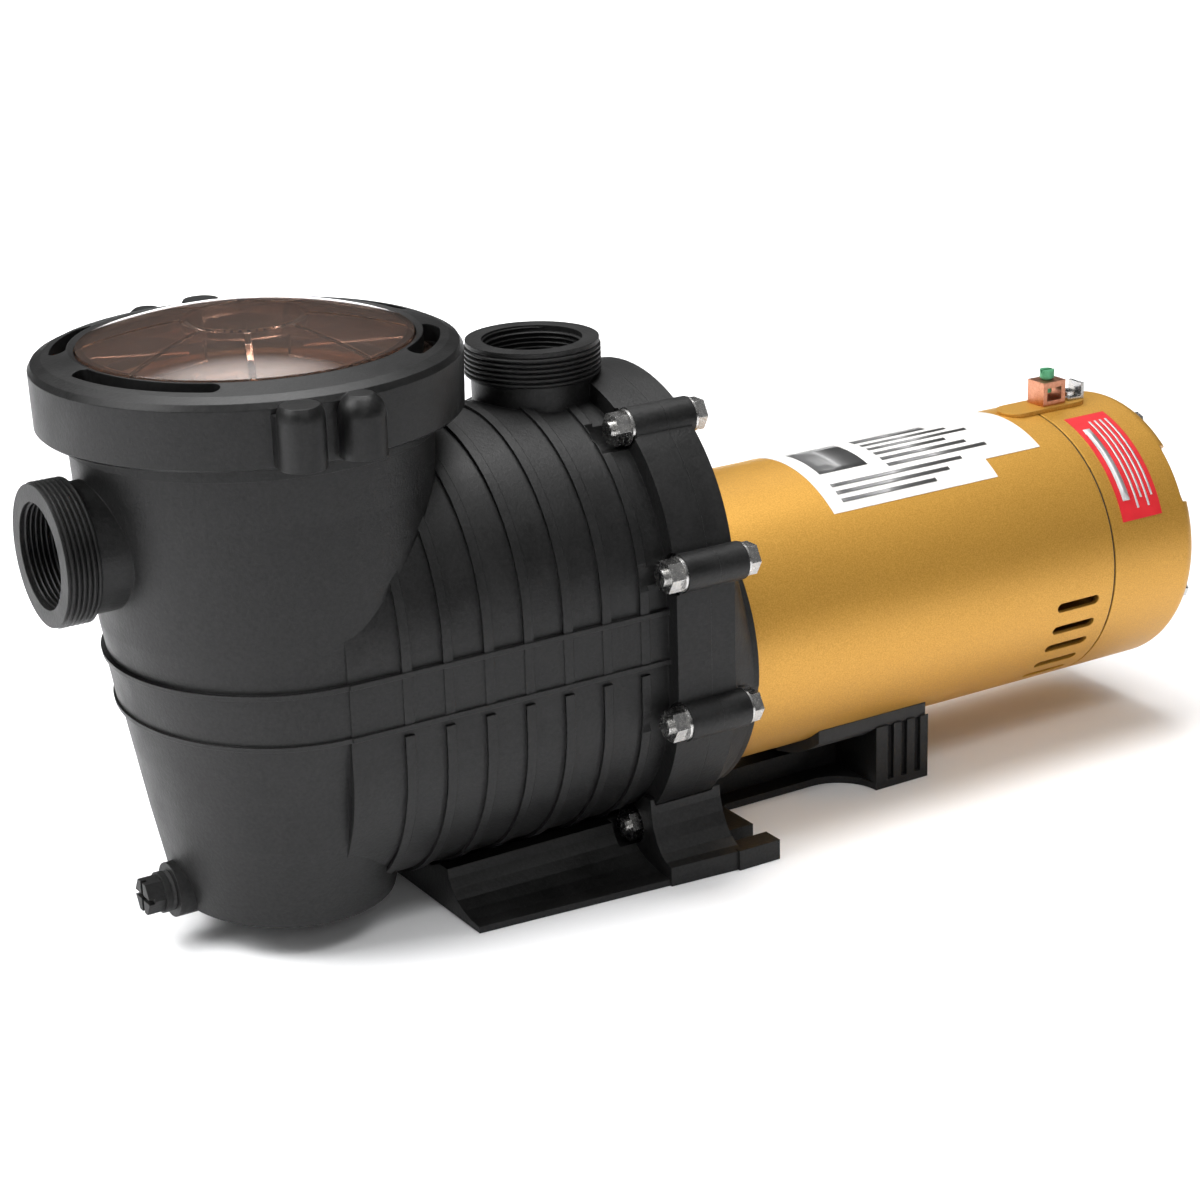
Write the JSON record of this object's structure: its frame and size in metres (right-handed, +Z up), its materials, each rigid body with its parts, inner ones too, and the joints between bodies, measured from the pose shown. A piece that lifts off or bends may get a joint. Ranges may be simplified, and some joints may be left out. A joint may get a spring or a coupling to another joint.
{
  "type": "pool pump",
  "caption": "Self-priming pool pump with a clear-lidded strainer pot, ribbed black volute housing, gold electric motor and a slotted mounting base.",
  "frame": {"origin": "on the floor plane, on the underside of the mounting base, below the axis of the discharge port", "axes": "+Z up along the discharge port, +X along the motor shaft from the suction port towards the motor"},
  "size_m": [0.5677, 0.2046, 0.2701],
  "materials": {
    "black_resin": "glass-filled moulded, fine grain, satin",
    "rubber": "matt",
    "bolt_steel": "bright zinc",
    "smoke_clear": "smoked clear polycarbonate",
    "basket_resin": "plain moulded",
    "seal_ceramic": "lapped",
    "seal_carbon": "carbon face in rubber",
    "core_steel": "laminated steel",
    "copper_wire": "varnished winding",
    "gold_paint": "satin metallic gold paint",
    "cast_metal": "die cast",
    "capacitor_can": "phenolic case",
    "board_resin": "phenolic board",
    "label_white": "satin film",
    "label_red": "satin film",
    "copper_lug": "copper",
    "green_screw": "green finish"
  },
  "bodies": {
    "root": {"pump_body": "black_resin", "seal_plate": "black_resin", "housing_o_ring": "rubber", "flange_bolts": "bolt_steel", "flange_nuts": "bolt_steel", "flange_washers": "bolt_steel", "diffuser": "black_resin", "seal_seat": "seal_ceramic", "front_bearing": "bolt_steel", "rear_bearing": "bolt_steel", "stator_core": "core_steel", "stator_windings": "copper_wire", "motor_shell": "gold_paint", "front_end_bell": "cast_metal", "rear_end_bell": "gold_paint", "seam_ring": "rubber", "through_bolts": "bolt_steel", "motor_mount_bolts": "bolt_steel", "capacitor": "capacitor_can", "terminal_board": "board_resin", "rating_label": "label_white", "notice_label": "label_red", "bonding_plate": "gold_paint", "ground_lug": "copper_lug", "ground_screw": "green_screw", "side_lug": "bolt_steel", "side_lug_screw": "bolt_steel", "mounting_base": "black_resin", "motor_pad": "rubber"},
    "rotor": {"motor_shaft": "bolt_steel", "impeller": "black_resin", "impeller_screw": "bolt_steel", "seal_head": "seal_carbon", "seal_spring": "bolt_steel", "rotor_core": "core_steel", "cooling_fan": "black_resin", "centrifugal_switch": "board_resin"},
    "basket": {"strainer_basket": "basket_resin"},
    "handle": {"basket_handle": "basket_resin"},
    "lid": {"strainer_lid": "smoke_clear", "lid_o_ring": "rubber"},
    "ring": {"lock_ring": "black_resin"},
    "drain_seal": {"drain_o_ring": "rubber"},
    "plug": {"drain_plug": "black_resin"}
  },
  "joints": [
    {"name": "shaft_spin", "type": "hinge", "parent": "root", "child": "rotor", "pos_m": [0.15, 0, 0.0889], "axis": [1, 0, 0], "continuous": true},
    {"name": "basket_lift", "type": "slide", "parent": "root", "child": "basket", "axis": [0, 0, 1], "range_m": [0, 0.2]},
    {"name": "handle_swing", "type": "hinge", "parent": "basket", "child": "handle", "pos_m": [-0.139, 0, 0.229], "axis": [0, 1, 0], "range_deg": [-85, 0]},
    {"name": "lid_lift", "type": "slide", "parent": "basket", "child": "lid", "axis": [0, 0, 1], "range_m": [0, 0.08]},
    {"name": "ring_turn", "type": "hinge", "parent": "lid", "child": "ring", "pos_m": [-0.139, 0, 0.24], "axis": [0, 0, 1], "range_deg": [0, 40]},
    {"name": "plug_back_off", "type": "slide", "parent": "root", "child": "drain_seal", "axis": [-1, 0, 0], "range_m": [0, 0.0084]},
    {"name": "plug_turn", "type": "hinge", "parent": "drain_seal", "child": "plug", "pos_m": [-0.193, 0, 0.0249], "axis": [-1, 0, 0], "range_deg": [0, 2160]}
  ],
  "couplings": [
    {"joint": "plug_turn", "follows": "plug_back_off", "rad_per_m": 4464.3}
  ]
}
